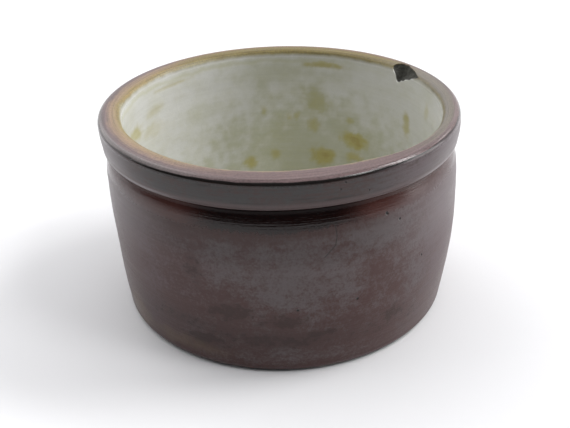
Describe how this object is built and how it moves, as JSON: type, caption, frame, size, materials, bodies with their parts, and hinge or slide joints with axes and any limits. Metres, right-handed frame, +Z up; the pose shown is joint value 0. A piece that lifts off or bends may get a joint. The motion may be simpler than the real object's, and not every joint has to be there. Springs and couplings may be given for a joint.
{
  "type": "ceramic crock fermenter",
  "caption": "Open stoneware crock, straight-sided and rounded at the foot, with a thick collared rim, satin brown slip glaze outside and a pale glaze liner inside.",
  "frame": {"origin": "centre of the foot, on the surface that the crock stands on", "axes": "+Z up out of the mouth, along the axis that the crock was turned about; +Y away from the side with the best view of the chip in the rim, which lies towards +X +Y"},
  "size_m": [0.1502, 0.1502, 0.0865],
  "materials": {
    "stoneware_clay": "bare fired clay, matte",
    "brown_slip_glaze": "satin",
    "wiped_rim_wash": "satin",
    "pale_liner_glaze": "gloss"
  },
  "bodies": {
    "root": {"clay_body": "stoneware_clay", "outer_glaze": "brown_slip_glaze", "rim_wash": "wiped_rim_wash", "liner_glaze": "pale_liner_glaze"}
  },
  "joints": []
}
